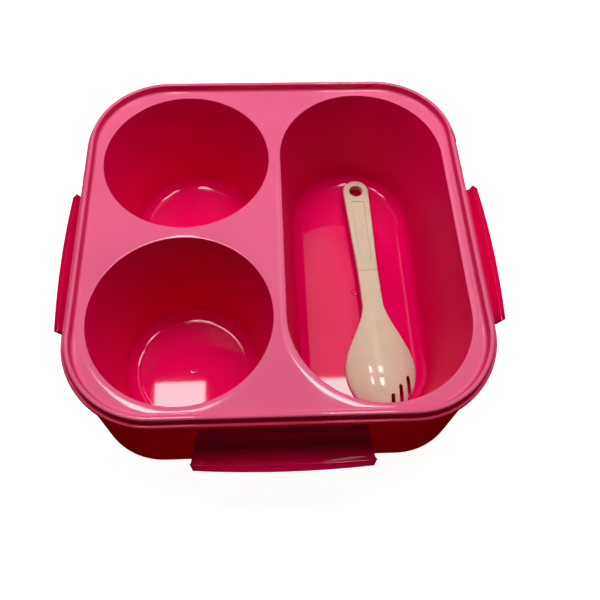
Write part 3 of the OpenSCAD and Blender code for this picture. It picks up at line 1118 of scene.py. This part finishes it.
@dataclass
class Box:
    """The outer box: wall, foot ring, rim with its upstand, and eight hinge lugs."""

    layout: Layout
    wall: float = 2.0
    floor: float = 2.0
    lean: float = 0.8
    base_fillet: float = 5.0
    foot_ring: float = 8.0
    foot_recess: float = 0.8
    rim_h: float = 4.6
    nose_r: float = 1.4
    edge_r: float = 0.4
    flat: float = 0.1
    lug_t: float = 4.0
    lug_in: float = 37.5
    lug_r: float = 2.38
    lug_sunk: float = 0.4
    lug_root: float = 1.0
    lug_edge_r: float = 0.3
    hole_r: float = 1.18

    @property
    def rim_top(self) -> float:
        """Height of the upstand round the tray."""
        return self.layout.plate_z + self.layout.rim_rise

    @property
    def rim_bottom(self) -> float:
        """Height of the rim's underside."""
        return self.rim_top - self.rim_h

    def _square(self, half: float, z: float, centre: float) -> Ring:
        """A ring about given corner centres."""
        return rounded_square(half, half - centre, z)

    def _rings(self) -> list[Ring]:
        """Lists the rings from the underside over the rim to the inside of the floor.

        Returns:
            The rings.
        """
        part = self.layout
        wall_centre = part.wall_out - part.wall_corner
        out = part.wall_out
        foot = out - self.lean
        ring_in = foot - self.base_fillet - self.foot_ring
        soft = self.edge_r
        inside = out - self.wall
        inner_fillet = self.base_fillet - self.wall
        lower = [(ring_in - soft - self.flat, self.foot_recess), (ring_in - soft, self.foot_recess)]
        lower += [(ring_in, self.foot_recess - soft), (ring_in, soft), (ring_in + soft, 0)]
        lower += arc(foot - self.base_fillet, self.base_fillet, self.base_fillet, -90, 0, 10)
        lower += [(out, self.rim_bottom - soft), (out + soft, self.rim_bottom)]
        rim = arc(part.rim_half - self.nose_r, self.rim_bottom + self.nose_r, self.nose_r, -90, 0, 7)
        bead = part.rim_bead / 2
        rim += arc(part.rim_half - bead, self.rim_top - bead, bead, 0, 180, 10)
        rim += [(part.rim_half - part.rim_bead, part.ledge_z)]
        upper = [(inside + soft, part.ledge_z), (inside, part.ledge_z - soft)]
        heel = inside - self.lean - inner_fillet
        upper += arc(heel, self.floor + inner_fillet, inner_fillet, 0, -90, 8)
        upper += [(heel - self.flat, self.floor)]
        rings = [self._square(half, z, wall_centre) for half, z in lower]
        rings += [self._square(half, z, part.rim_centre) for half, z in rim]
        rings += [self._square(half, z, wall_centre) for half, z in upper]
        return rings

    def _lug(self) -> bpy.types.Object:
        """Models one hinge lug under the front of the rim, right of the middle.

        Returns:
            The lug, with the bore for its pin.
        """
        part = self.layout
        out = part.hinge_out
        z = self.rim_bottom - part.barrel_drop - part.barrel_r
        top = self.rim_bottom + self.lug_sunk
        root = part.wall_out - self.lug_root
        soft = self.lug_edge_r
        section = [(-root, top), (-root, z - self.lug_r)]
        section += arc(-out, z, self.lug_r, -90, -180, 10)
        section += [(-(out + self.lug_r), top)]
        section.reverse()
        start, end = self.lug_in, self.lug_in + self.lug_t
        stations = [(start + soft - x, soft - inset) for x, inset in arc(0, 0, soft, 0, 90, 3)]
        stations += [(end - soft + x, soft - inset) for x, inset in arc(0, 0, soft, 90, 0, 3)]
        rings = [[(x, y, height) for y, height in pull_in(section, inset)] for x, inset in stations]
        draft = Draft("lug")
        draft.loft(rings, close_start=True, close_end=True)
        lug = draft.finish()
        clear_selection()
        bpy.ops.mesh.primitive_cylinder_add(
            vertices=32,
            radius=self.hole_r * MM,
            depth=3 * self.lug_t * MM,
            location=((self.lug_in + self.lug_t / 2) * MM, -out * MM, z * MM),
            rotation=(0, math.radians(90), 0),
        )
        cut_out(lug, bpy.context.object)
        smooth(lug)
        return lug

    def _lugs(self) -> list[bpy.types.Object]:
        """Copies the lug to both sides of all four latches.

        Returns:
            The eight lugs.
        """
        first = self._lug()
        lugs = []
        for side in Side:
            for shift in (0.0, -(2 * self.lug_in + self.lug_t) * MM):
                place = side.turn @ Matrix.Translation((shift, 0, 0))
                lugs.append(copy_to(first, place, f"lug_{side.name.lower()}"))
        bpy.data.objects.remove(first)
        return lugs

    def build(self) -> bpy.types.Object:
        """Models the box.

        Returns:
            The finished piece.
        """
        draft = Draft("box_shell")
        draft.loft(self._rings(), close_start=True, close_end=True)
        shell = draft.finish()
        box = join([shell] + self._lugs(), "box_shell")
        Finish.BOX.dress(box)
        declare(box, "box", "outer_box")
        return box


# ---------------------------------------------------------------- latches


@dataclass
class Latch:
    """A swing latch: a curved leaf with a hook and grip, and two hinge pins."""

    layout: Layout
    rim_bottom: float
    width: float = 84.6
    neck: float = 74.2
    corner_r: float = 1.3
    leaf_t: float = 1.8
    curve_r: float = 14.5
    curve_start: float = 171.0
    curve: float = 79.0
    curve_past: float = 4.0
    drop: float = 6.6
    heel_gap: float = 0.3
    hook_h: float = 3.1
    hook_w: float = 4.58
    hook_lean: float = 3.2
    hook_r: float = 0.7
    hook_turn: Point2 = (20, 150)
    grip_r: float = 1.2
    grip_turn: Point2 = (-70, 30)
    bow_r: float = 520.0
    pin_r: float = 1.1
    pin_reach: float = 4.0
    pin_root: float = 1.0
    edge_r: float = 0.3
    bevel: float = 0.3
    lug_clear: float = 2.9
    lifts: dict[Side, float] = field(default_factory=lambda: {Side.RIGHT: 9.0})

    @property
    def hinge(self) -> Point3:
        """Place of the front latch's hinge."""
        part = self.layout
        return (0.0, -part.hinge_out, self.rim_bottom - part.barrel_drop - part.barrel_r)

    def _section(self) -> list[Point2]:
        """Draws the closed section about the hinge.

        Returns:
            Points as outward and upward distances from the hinge.
        """
        part = self.layout
        half = self.leaf_t / 2
        inner = self.curve_r - half
        outer = self.curve_r + half
        x = outer + self.heel_gap - part.barrel_gap - part.barrel_r
        z = -self.drop
        first = self.curve_start
        last = first + self.curve
        tip_x = x + inner * math.cos(math.radians(last))
        tip_z = z + inner * math.sin(math.radians(last))
        side = math.degrees(math.acos(half / part.barrel_r))
        section = arc(0, 0, part.barrel_r, -side, 180 + side, 18)
        section += arc(x, z, outer, first, last + self.curve_past, 16)
        section += arc(tip_x + self.hook_w, tip_z + self.grip_r, self.grip_r, *self.grip_turn, 8)
        hook_z = tip_z + self.hook_h - self.hook_r
        section += arc(tip_x + self.hook_lean, hook_z, self.hook_r, *self.hook_turn, 8)
        section += arc(x, z, inner, last, first, 16)
        return section

    def _half_width(self, outward: float, away: float) -> float:
        """Half the latch's width, which grows along the leaf and rounds off at its grip.

        Args:
            outward: Distance in front of the hinge.
            away: Straight distance from the hinge.

        Returns:
            The half-width.
        """
        neck, wide = self.neck / 2, self.width / 2
        share = min(1.0, max(0.0, (away - self.lug_clear) / (self.far - self.lug_clear)))
        half = neck + (wide - neck) * share
        corner = self._edge(wide - self.corner_r) - self.corner_r
        past = outward - corner
        if past > 0:
            left = self.corner_r**2 - min(past, self.corner_r) ** 2
            half = wide - self.corner_r + math.sqrt(max(0.0, left))
        return half

    @property
    def reach(self) -> float:
        """How far the middle of the grip stands in front of the hinge."""
        return max(x for x, _ in self._section())

    @property
    def far(self) -> float:
        """Straight distance of the grip from the hinge."""
        return max(math.hypot(x, z) for x, z in self._section())

    def _edge(self, across: float) -> float:
        """How far the bowed grip stands in front of the hinge, at a distance across."""
        return self.reach - self.bow_r + math.sqrt(self.bow_r**2 - across**2)

    def _ring(self, share: float, inset: float) -> Ring:
        """Places the section across the latch and bows its grip.

        Args:
            share: Share of the half-width, from -1 to 1.
            inset: How far the section is pulled in.

        Returns:
            The ring.
        """
        section = self._section()
        bowed_from = self.reach - 2 * self.hook_w
        ring: Ring = []
        for (x, z), (px, pz) in zip(section, pull_in(section, inset)):
            across = share * self._half_width(x, math.hypot(x, z))
            bow = max(0.0, (x - bowed_from) / (self.reach - bowed_from))
            ring.append((across, -(px - (self.reach - self._edge(across)) * bow), pz))
        return ring

    def _leaf(self) -> bpy.types.Object:
        """Models the leaf with its barrel and hook, about the hinge.

        Returns:
            The leaf.
        """
        rings = []
        ends = [(0.0, self.edge_r), (0.4, self.bevel * self.edge_r), (1.0, 0.0)]
        shares = [i / 8 for i in range(-7, 8)]
        half = self.width / 2
        for back, inset in ends:
            rings.append(self._ring(-1 + back * self.edge_r / half, inset))
        rings += [self._ring(share, 0.0) for share in shares]
        for back, inset in reversed(ends):
            rings.append(self._ring(1 - back * self.edge_r / half, inset))
        draft = Draft("leaf")
        draft.loft(rings, close_start=True, close_end=True)
        return draft.finish()

    def _pin(self, side: int) -> bpy.types.Object:
        """Models one hinge pin with a rounded end.

        Args:
            side: -1 for the left-hand pin, 1 for the right-hand one.

        Returns:
            The pin.
        """
        root = self.neck / 2 - self.pin_root
        end = self.neck / 2 + self.pin_reach
        soft = self.edge_r
        back = self.bevel * soft
        section = [(self.pin_r, root), (self.pin_r, end - soft), (self.pin_r - back, end - back)]
        section += [(self.pin_r - soft, end)]
        rings = []
        for r, x in section:
            rings.append([(side * x, py, pz) for py, pz, _ in stadium(0, 0, r, 0, 0, 12)])
        draft = Draft("pin")
        draft.loft(rings, close_start=True, close_end=True)
        return draft.finish()

    def build(self) -> list[bpy.types.Object]:
        """Models one latch and hangs a copy on each side.

        Returns:
            The four latches.
        """
        first = join([self._leaf(), self._pin(-1), self._pin(1)], "latch")
        Finish.LATCH.dress(first)
        hinge = Matrix.Translation(Vector(self.hinge) * MM)
        latches = []
        for side in Side:
            word = side.name.lower()
            lift = Matrix.Rotation(math.radians(-self.lifts.get(side, 0.0)), 4, "X")
            latch = copy_to(first, side.turn @ hinge @ lift, f"swing_latch_{word}")
            declare(latch, f"{word}_latch", f"latch_{word}")
            latches.append(latch)
        bpy.data.objects.remove(first)
        return latches


# ---------------------------------------------------------------- spork


@dataclass
class Spork:
    """A spork in two pieces that plug together, lying face down in the long well."""

    layout: Layout
    length: float = 149.0
    turn: float = 2.0
    shift: float = 5.0
    rest: float = 0.3
    rise: float = 4.2
    handle_l: float = 65.0
    handle_w: float = 15.8
    seam_w: float = 11.8
    handle_t: float = 4.0
    hole_r: float = 4.0
    recess: float = 0.6
    recess_start_w: float = 7.8
    recess_w: float = 6.0
    recess_stop: float = 4.5
    recess_corner: float = 1.2
    recess_edge_r: float = 0.45
    recess_foot: float = 0.15
    edge_r: float = 0.9
    hole_edge_r: float = 0.5
    under_r: float = 0.3
    flat: float = 0.05
    groove: float = 0.14
    seam_corner: float = 0.25
    seam_gap: float = 0.02
    seam_clear: float = 0.4
    bowl_w: float = 38.6
    bowl_l: float = 63.0
    tip_l: float = 24.7
    bowl_h: float = 8.0
    bowl_t: float = 1.6
    slot_w: float = 2.3
    tine_w: float = 2.6
    slots: int = 3
    slot_side: float = 13.5
    slot_l: float = 18.5
    slot_step: float = 5.0
    slot_flare: float = 0.25
    slot_past: float = 3.0
    neck_run: float = 4.0
    crown_power: float = 2.2
    crown_at_tip: float = 0.96
    edge_flat: float = 0.2

    @property
    def place(self) -> Matrix:
        """Where a piece drawn along +X from the handle's end goes."""
        part = self.layout
        spot = Vector((part.cup_at + self.shift, self.length / 2, part.floor_z + self.rest)) * MM
        return Matrix.Translation(spot) @ Matrix.Rotation(math.radians(self.turn - 90), 4, "Z")

    # ----- handle

    def _plan(self, inset: float, seam: float, z: float) -> Ring:
        """Outlines the handle.

        Args:
            inset: How far its sides are pulled in.
            seam: How far its seam end is pulled in.
            z: Height over its underside.

        Returns:
            The ring.
        """
        end_r = self.handle_w / 2
        run = self.handle_l - end_r
        taper = math.asin(end_r / math.hypot(run, self.seam_w / 2)) - math.atan2(self.seam_w / 2, run)
        taper = math.degrees(taper)
        r = end_r - inset
        points = arc(end_r, 0, r, 90 - taper, 270 + taper, 36)
        last_x = self.handle_l - seam
        last_y = (r - (last_x - end_r) * math.sin(math.radians(taper))) / math.cos(math.radians(taper))
        corner = self.seam_corner
        points += [(last_x - corner, -last_y), (last_x, -last_y + corner)]
        points += [(last_x, last_y - corner), (last_x - corner, last_y)]
        return [(x, y, z + self.rise) for x, y in points]

    def _recess_plan(self, inset: float, z: float) -> Ring:
        """Outlines the long recess.

        Args:
            inset: How far the outline is pulled in.
            z: Height over the handle's underside.

        Returns:
            The ring.
        """
        start = self.handle_w + inset
        end_r = self.recess_w / 2
        stop = self.handle_l - self.recess_stop - end_r
        wide = self.recess_start_w / 2 - inset
        soft = self.recess_corner
        points = arc(stop, 0, end_r - inset, -90, 90, 20)
        points += arc(start + soft, wide - soft, soft, 90, 180, 5)
        points += arc(start + soft, -wide + soft, soft, 180, 270, 5)
        return [(x, y, z + self.rise) for x, y in points]

    def handle(self) -> bpy.types.Object:
        """Models the handle with its hole and its long recess.

        Returns:
            The finished piece.
        """
        top = self.handle_t
        flat = self.flat
        sides = [(self.under_r + flat, 0.0)]
        sides += [(self.under_r - x, z) for x, z in arc(0, self.under_r, self.under_r, -90, 0, 3)]
        sides += [(self.edge_r - x, top - self.edge_r + z) for x, z in arc(0, 0, self.edge_r, 0, 90, 7)]
        sides += [(self.edge_r + flat, top)]
        draft = Draft("spork_handle_skin")
        draft.loft([self._plan(inset, min(self.groove, inset), z) for inset, z in sides])
        soft = self.hole_edge_r
        hole = [(self.hole_r + soft + flat, top)]
        hole += arc(self.hole_r + soft, top - soft, soft, 90, 180, 5)
        hole += arc(self.hole_r + self.under_r, self.under_r, self.under_r, 180, 270, 3)
        hole += [(self.hole_r + self.under_r + flat, 0.0)]
        centre = self.handle_w / 2
        draft.loft([stadium(centre, 0, r, 0, z + self.rise, 24) for r, z in hole])
        edge = self.recess_edge_r
        floor = top - self.recess
        foot = self.recess_foot
        recess = [(-flat - edge, top)]
        recess += [(-edge + x, top - edge + z) for x, z in arc(0, 0, edge, 90, 0, 4)]
        recess += [(flat, floor + foot), (flat + foot, floor), (2 * foot, floor)]
        draft.loft([self._recess_plan(inset, z) for inset, z in recess], close_end=True)
        draft.fill_level(self.rise + top)
        draft.fill_level(self.rise)
        handle = draft.finish()
        settle(handle, self.place)
        Finish.SPORK.dress(handle)
        declare(handle, "spork", "spork_handle")
        return handle

    # ----- head

    @staticmethod
    def _ease(t: float) -> float:
        """Smooth step from 0 to 1."""
        u = max(0.0, min(1.0, t))
        return u * u * (3 - 2 * u)

    @property
    def widest(self) -> float:
        """Distance of the bowl's widest place from the handle's end."""
        return self.length - self.tip_l

    @property
    def neck_end(self) -> float:
        """Where the neck starts to widen."""
        return self.length - self.bowl_l

    def _past(self, s: float) -> float:
        """Share of the way from the widest place to the tip."""
        return max(0.0, s - self.widest) / self.tip_l

    def _half(self, s: float) -> float:
        """Half the head's width."""
        if s < self.widest:
            share = self._ease((s - self.neck_end) / (self.widest - self.neck_end))
            return self.seam_w / 2 + (self.bowl_w - self.seam_w) / 2 * share
        return self.bowl_w / 2 * math.sqrt(max(0.0, 1 - self._past(s) ** 2))

    def _in_bowl(self, s: float) -> float:
        """How far the neck has become the bowl."""
        return self._ease((s - self.neck_end - self.neck_run) / (self.widest - self.neck_end))

    def _thick(self, s: float) -> float:
        """Thickness."""
        return self.handle_t + (self.bowl_t - self.handle_t) * self._in_bowl(s)

    def _under(self, s: float, u: float) -> float:
        """Height of the underside."""
        into = self._in_bowl(s)
        crown = self.bowl_h * into * math.sqrt(1 - (self._past(s) * self.crown_at_tip) ** 2)
        return self.rise * (1 - into) + crown * (1 - abs(u) ** self.crown_power)

    def _from_edge(self, s: float, y: float) -> float:
        """Distance from the outline."""
        if s < self.widest:
            return self._half(s) - abs(y)
        return self.bowl_w / 2 * (1 - math.hypot(2 * y / self.bowl_w, self._past(s)))

    @staticmethod
    def _pulled(gap: float, r: float) -> float:
        """How far an edge radius pulls the surface back."""
        return 0.0 if gap >= r else r - math.sqrt(max(0.0, r * r - (r - gap) ** 2))

    def _head_ring(self, s: float, seam: float) -> Ring:
        """Draws the closed ring across the head: over the back, then under it.

        Args:
            s: Distance from the handle's end.
            seam: How far the back is lowered for the seam.

        Returns:
            The ring.
        """
        columns = 30
        half = self._half(s)
        soft = min(self.edge_r, self.bowl_t - self.under_r - self.edge_flat)
        across = [math.sin(math.pi * (j / columns - 0.5)) for j in range(columns + 1)]
        over: Ring = []
        under: Ring = []
        for u in across:
            y = u * half
            gap = self._from_edge(s, y)
            z = self._under(s, u)
            over.append((s, y, z + self._thick(s) - self._pulled(gap, soft) - seam))
            under.append((s, y, z + self._pulled(gap, self.under_r)))
        return over + under[::-1]

    def _slot_air(self, i: int) -> bpy.types.Object:
        """Models the air in one slot, with a round root.

        Args:
            i: Number of the slot, from 0.

        Returns:
            A closed mesh that reaches past the head on every side but the root.
        """
        root = self.length - self.slot_l + i * self.slot_step
        y = self.slot_side - i * (self.slot_w + self.tine_w)
        r = self.slot_w / 2
        wide = r + self.slot_flare
        end = self.length + self.slot_past
        points = arc(root + r, y, r, 90, 270, 12) + [(end, y - wide), (end, y + wide)]
        heights = (-self.slot_past, self.bowl_h + 2 * self.slot_past)
        draft = Draft("slot_air")
        draft.loft([[(x, py, z) for x, py in points] for z in heights], close_start=True, close_end=True)
        return draft.finish()

    def head(self) -> bpy.types.Object:
        """Models the neck and the slotted bowl.

        Returns:
            The finished piece.
        """
        rows = 90
        first = self.handle_l + self.flat
        span = self.length - self.flat - self.handle_l - self.flat
        stations = [first + span * (1 - (1 - i / rows) ** 1.5) for i in range(rows + 1)]
        seam = self.handle_l + self.seam_gap
        rings = [self._head_ring(seam, self.groove), self._head_ring(seam + self.groove, 0.0)]
        rings += [self._head_ring(s, 0.0) for s in stations if s > self.handle_l + self.seam_clear]
        draft = Draft("spork_head_skin")
        draft.loft(rings, close_start=True, close_end=True)
        head = draft.finish()
        for i in range(self.slots):
            cut_out(head, self._slot_air(i))
        smooth(head)
        settle(head, self.place)
        Finish.SPORK.dress(head)
        declare(head, "spork", "spork_head")
        return head


# ---------------------------------------------------------------- studio


@dataclass(frozen=True)
class Softbox:
    """A soft area light that faces down; places and sizes are in millimetres."""

    name: str
    place: Point3
    width: float
    depth: float
    radiance: float
    colour: str = "#ffffff"
    seen_in_gloss: bool = True
    elliptic: bool = False

    def hang(self) -> None:
        """Adds the light to the scene."""
        light = bpy.data.lights.new(self.name, "AREA")
        light.shape = "ELLIPSE" if self.elliptic else "RECTANGLE"
        light.size = self.width * MM
        light.size_y = self.depth * MM
        light.energy = math.pi * light.size * light.size_y * self.radiance
        light.color = linear(self.colour)[:3]
        lamp = bpy.data.objects.new(self.name, light)
        lamp.location = Vector(self.place) * MM
        lamp.visible_glossy = self.seen_in_gloss
        bpy.context.scene.collection.objects.link(lamp)


@dataclass
class Studio:
    """Floor, backdrop, lights and camera.

    The floor and the backdrop are sized in metres, the rest in millimetres and degrees.
    """

    camera_at: Point3 = (-8.46, -185.53, 348.25)
    pitch: float = 60.91
    yaw: float = 4.18
    roll: float = 2.41
    focal_px: float = 669.85
    centre_px: Point2 = (285.0, 285.0)
    frame_px: float = 600.0
    sensor_mm: float = 36.0
    floor_half: float = 6.0
    backdrop_r: float = 5.9
    backdrop_h: float = 8.0
    sky: float = 0.03
    bounce: float = 0.14
    horizon: float = 0.3
    floor_drop: float = 0.2
    nearest: float = 10.0
    board: str = "#c8c8c8"
    board_roughness: float = 0.9
    board_glow: float = 0.96
    softboxes: list[Softbox] = field(default_factory=list)

    def _camera(self) -> None:
        """Adds the camera."""
        pitch, yaw, roll = (math.radians(a) for a in (self.pitch, self.yaw, self.roll))
        look = Vector(
            (math.sin(yaw) * math.cos(pitch), math.cos(yaw) * math.cos(pitch), -math.sin(pitch))
        )
        right = Vector((math.cos(yaw), -math.sin(yaw), 0))
        up = right.cross(look)
        turned_right = math.cos(roll) * right + math.sin(roll) * up
        turned_up = -math.sin(roll) * right + math.cos(roll) * up
        lens = bpy.data.cameras.new("camera")
        lens.sensor_width = self.sensor_mm
        lens.lens = self.focal_px / self.frame_px * self.sensor_mm
        lens.shift_x = (self.frame_px / 2 - self.centre_px[0]) / self.frame_px
        lens.shift_y = (self.centre_px[1] - self.frame_px / 2) / self.frame_px
        lens.clip_start = self.nearest * MM
        camera = bpy.data.objects.new("camera", lens)
        turn = Matrix((turned_right, turned_up, -look)).transposed().to_4x4()
        camera.matrix_world = Matrix.Translation(Vector(self.camera_at) * MM) @ turn
        bpy.context.scene.collection.objects.link(camera)
        bpy.context.scene.camera = camera

    def _floor(self) -> None:
        """Adds the pale floor and a pale wall all round it."""
        clear_selection()
        under = (0, 0, -self.floor_drop * MM)
        bpy.ops.mesh.primitive_plane_add(size=2 * self.floor_half, location=under)
        floor = bpy.context.object
        floor.name = "studio_floor"
        graph = Graph(bpy.data.materials.new("matt_white_board"))
        shader = graph.add(
            "ShaderNodeBsdfPrincipled",
            Base_Color=linear(self.board),
            Roughness=self.board_roughness,
            Emission_Color=linear("#ffffff"),
            Emission_Strength=self.board_glow,
        )
        graph.add("ShaderNodeOutputMaterial", Surface=shader.outputs["BSDF"])
        clear_selection()
        bpy.ops.mesh.primitive_cylinder_add(
            vertices=96,
            radius=self.backdrop_r,
            depth=self.backdrop_h,
            end_fill_type="NOTHING",
            location=(0, 0, self.backdrop_h / 2),
        )
        backdrop = bpy.context.object
        backdrop.name = "studio_backdrop"
        backdrop.visible_shadow = False
        for board in (floor, backdrop):
            board.data.materials.append(graph.owner)
            board.visible_diffuse = False
            board.visible_glossy = False

    def _world(self) -> None:
        """Sets the dim light of the room."""
        world = bpy.data.worlds.new("studio")
        graph = Graph(world)
        place = graph.add("ShaderNodeTexCoord").outputs["Generated"]
        fade = graph.add(
            "ShaderNodeMapRange",
            Value=graph.add("ShaderNodeSeparateXYZ", Vector=place).outputs["Z"],
            From_Min=-self.horizon,
            From_Max=self.horizon,
            To_Min=self.bounce,
            To_Max=self.sky,
        )
        light = graph.add(
            "ShaderNodeBackground", Color=linear("#ffffff"), Strength=fade.outputs["Result"]
        )
        graph.add("ShaderNodeOutputWorld", Surface=light.outputs["Background"])
        bpy.context.scene.world = world
        world.cycles_visibility.glossy = False

    def build(self) -> None:
        """Sets up floor, lights and camera."""
        self._floor()
        self._world()
        self._camera()
        for softbox in self.softboxes:
            softbox.hang()
        bpy.context.scene.view_settings.view_transform = "Standard"


def overhead_softboxes() -> list[Softbox]:
    """Four small softboxes in a square over the box, a faint one, and a broad one above and behind.

    Returns:
        The lights.
    """
    height = 500.0
    depth, radiance = 68.0, 15.0
    faint = ((150, 360, 0.35), (100, 300, 0.2), (72, 260, 0.2))
    lights = []
    for row, y in (("front", -13.0), ("rear", 103.0)):
        for side, x, width in (("left", -118.0, 66.0), ("right", 98.0, 76.0)):
            lights.append(Softbox(f"softbox_{row}_{side}", (x, y, height), width, depth, radiance))
    for step, (width, length, share) in enumerate(faint):
        place = (84, 245, height + 20 + step)
        lights.append(Softbox(f"softbox_faint_{step}", place, width, length, share, elliptic=True))
    lights.append(Softbox("softbox_broad", (0, 260, 700), 700, 340, 6.1, seen_in_gloss=False))
    return lights


# ---------------------------------------------------------------- the whole


def main() -> None:
    """Builds every piece in order and sets the studio up."""
    logging.basicConfig(level=logging.INFO, format="%(name)s: %(message)s")
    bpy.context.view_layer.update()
    layout = Layout()
    box = Box(layout)
    box.build()
    Tray(layout).build()
    Latch(layout, box.rim_bottom).build()
    spork = Spork(layout)
    spork.handle()
    spork.head()
    Studio(softboxes=overhead_softboxes()).build()


if __name__ == "__main__":
    main()
